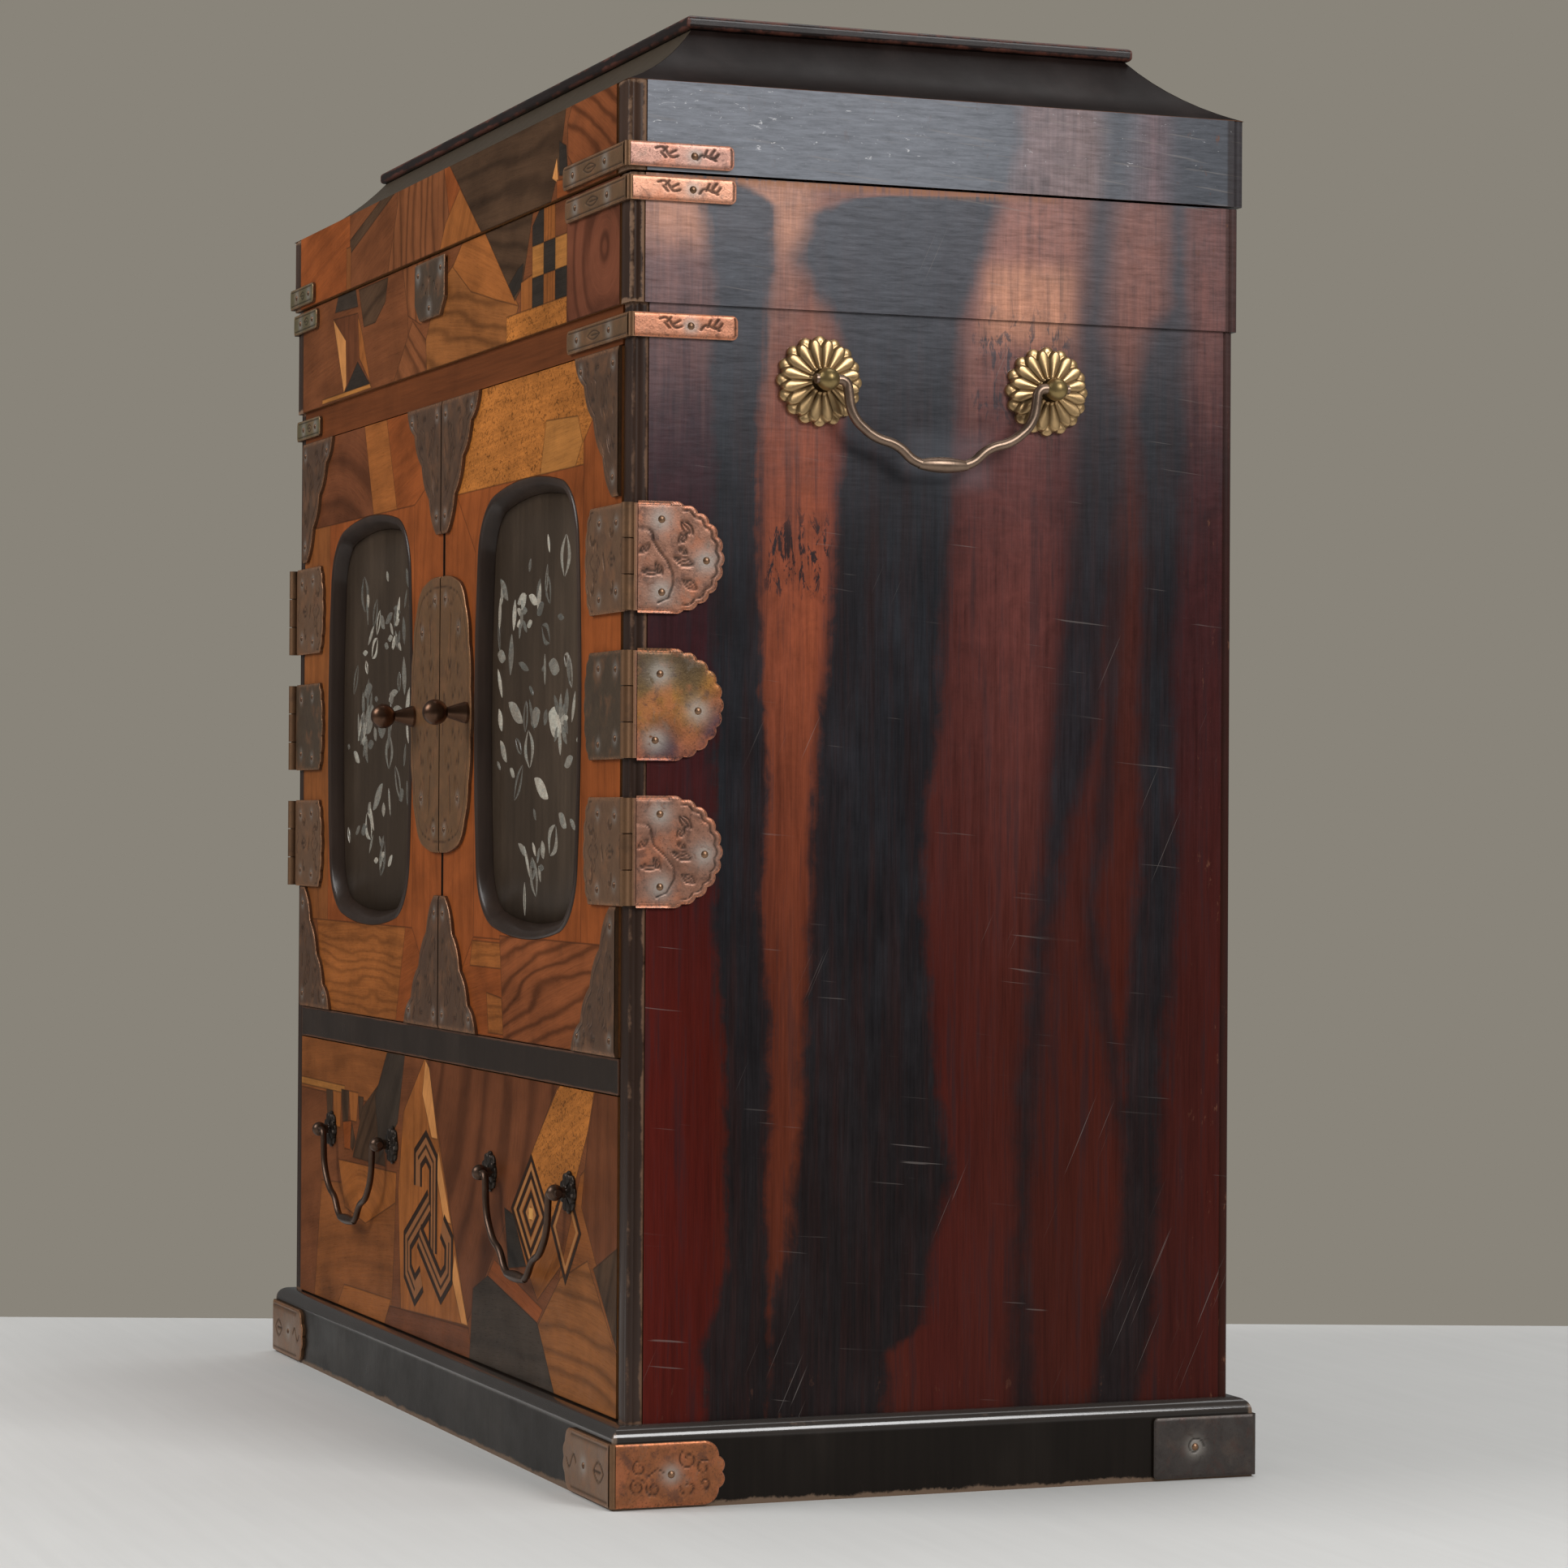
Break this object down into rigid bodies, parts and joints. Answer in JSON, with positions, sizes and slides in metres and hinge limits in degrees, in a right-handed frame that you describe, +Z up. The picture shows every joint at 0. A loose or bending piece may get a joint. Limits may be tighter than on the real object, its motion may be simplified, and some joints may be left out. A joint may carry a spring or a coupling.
{
  "type": "small tansu chest",
  "caption": "Tabletop chest with a hinged coved lid over a till, a pair of hinged doors over small drawers, a long drawer, and bail handles.",
  "frame": {"origin": "on the floor, under the middle of the body", "axes": "+Z up, +X to the right of someone facing the doors, -Y out of the doors"},
  "size_m": [0.35, 0.1876, 0.3788],
  "materials": {
    "striped_lacquer": "satin lacquer",
    "black_lacquer": "gloss lacquer",
    "marquetry": "satin",
    "plain_wood": "matt",
    "brown_wood": "satin",
    "copper": "worn",
    "gilt_brass": "worn",
    "dark_metal": "dull"
  },
  "bodies": {
    "cabinet": {"plinth_rails": "black_lacquer", "bottom_board": "plain_wood", "plinth_front_mounts": "copper", "plinth_rear_mounts": "dark_metal", "right_side_board": "striped_lacquer", "left_side_board": "striped_lacquer", "back_board": "black_lacquer", "body_corner_posts": "black_lacquer", "drawer_divider": "black_lacquer", "top_rail": "brown_wood", "till_floor_board": "plain_wood", "body_and_till_straps": "copper", "till_front_board": "marquetry", "till_back_board": "black_lacquer", "till_side_boards": "striped_lacquer", "till_corner_posts": "black_lacquer", "till_lock_plate": "copper", "door_hinge_side_leaves": "copper", "lid_hinge_lower_leaves": "dark_metal", "hinge_pins": "dark_metal", "side_rosettes": "gilt_brass", "side_bail_eyes": "gilt_brass", "casing_cheeks": "black_lacquer", "casing_partition": "black_lacquer", "casing_shelves": "black_lacquer"},
    "lid": {"lid_front_board": "marquetry", "lid_back_board": "black_lacquer", "lid_side_boards": "striped_lacquer", "lid_corner_posts": "black_lacquer", "lid_cove": "black_lacquer", "lid_top_slab": "black_lacquer", "lid_straps": "copper", "lid_hinge_upper_leaves": "dark_metal"},
    "right_door": {"right_door_frame": "marquetry", "right_door_window_moulding": "black_lacquer", "right_door_lacquer_panel": "black_lacquer", "right_door_mounts": "copper", "right_door_knob": "dark_metal", "right_door_hinge_leaves": "copper"},
    "left_door": {"left_door_frame": "marquetry", "left_door_window_moulding": "black_lacquer", "left_door_lacquer_panel": "black_lacquer", "left_door_mounts": "copper", "left_door_knob": "dark_metal", "left_door_hinge_leaves": "copper"},
    "long_drawer": {"drawer_front": "marquetry", "drawer_box": "plain_wood", "drawer_handle_posts": "dark_metal"},
    "left_drawer_handle": {"drawer_bail_left": "dark_metal"},
    "right_drawer_handle": {"drawer_bail_right": "dark_metal"},
    "left_carrying_handle": {"side_bail_left": "gilt_brass"},
    "right_carrying_handle": {"side_bail_right": "gilt_brass"},
    "left_small_drawer_1_body": {"left_small_drawer_1": "brown_wood", "left_small_drawer_1_knob": "dark_metal"},
    "left_small_drawer_2_body": {"left_small_drawer_2": "brown_wood", "left_small_drawer_2_knob": "dark_metal"},
    "left_small_drawer_3_body": {"left_small_drawer_3": "brown_wood", "left_small_drawer_3_knob": "dark_metal"},
    "right_small_drawer_body": {"right_small_drawer": "brown_wood", "right_small_drawer_knob": "dark_metal"}
  },
  "joints": [
    {"name": "lid_hinge", "type": "hinge", "parent": "cabinet", "child": "lid", "pos_m": [0, 0.08775, 0.33475], "axis": [-1, 0, 0], "range_deg": [0, 110]},
    {"name": "right_door_hinge", "type": "hinge", "parent": "cabinet", "child": "right_door", "pos_m": [0.16625, -0.08525, 0.201], "axis": [0, 0, 1], "range_deg": [0, 235]},
    {"name": "left_door_hinge", "type": "hinge", "parent": "cabinet", "child": "left_door", "pos_m": [-0.16625, -0.08525, 0.201], "axis": [0, 0, -1], "range_deg": [0, 235]},
    {"name": "long_drawer_slide", "type": "slide", "parent": "cabinet", "child": "long_drawer", "axis": [0, -1, 0], "range_m": [0, 0.115]},
    {"name": "left_drawer_handle_swing", "type": "hinge", "parent": "long_drawer", "child": "left_drawer_handle", "pos_m": [-0.086, -0.0882, 0.075], "axis": [-1, 0, 0], "range_deg": [0, 170]},
    {"name": "right_drawer_handle_swing", "type": "hinge", "parent": "long_drawer", "child": "right_drawer_handle", "pos_m": [0.086, -0.0882, 0.075], "axis": [-1, 0, 0], "range_deg": [0, 170]},
    {"name": "right_carrying_handle_swing", "type": "hinge", "parent": "cabinet", "child": "right_carrying_handle", "pos_m": [0.172, -0.00205, 0.284], "axis": [0, -1, 0], "range_deg": [0, 170]},
    {"name": "left_carrying_handle_swing", "type": "hinge", "parent": "cabinet", "child": "left_carrying_handle", "pos_m": [-0.172, -0.00205, 0.284], "axis": [0, 1, 0], "range_deg": [0, 170]},
    {"name": "left_small_drawer_1_slide", "type": "slide", "parent": "cabinet", "child": "left_small_drawer_1_body", "axis": [0, -1, 0], "range_m": [0, 0.09]},
    {"name": "left_small_drawer_2_slide", "type": "slide", "parent": "cabinet", "child": "left_small_drawer_2_body", "axis": [0, -1, 0], "range_m": [0, 0.09]},
    {"name": "left_small_drawer_3_slide", "type": "slide", "parent": "cabinet", "child": "left_small_drawer_3_body", "axis": [0, -1, 0], "range_m": [0, 0.09]},
    {"name": "right_small_drawer_slide", "type": "slide", "parent": "cabinet", "child": "right_small_drawer_body", "axis": [0, -1, 0], "range_m": [0, 0.09]}
  ],
  "couplings": [
    {"joint": "left_small_drawer_1_slide", "follows": "left_door_hinge", "m_per_rad": 0.02},
    {"joint": "left_small_drawer_2_slide", "follows": "left_door_hinge", "m_per_rad": 0.02},
    {"joint": "left_small_drawer_3_slide", "follows": "left_door_hinge", "m_per_rad": 0.02},
    {"joint": "right_small_drawer_slide", "follows": "right_door_hinge", "m_per_rad": 0.02}
  ]
}
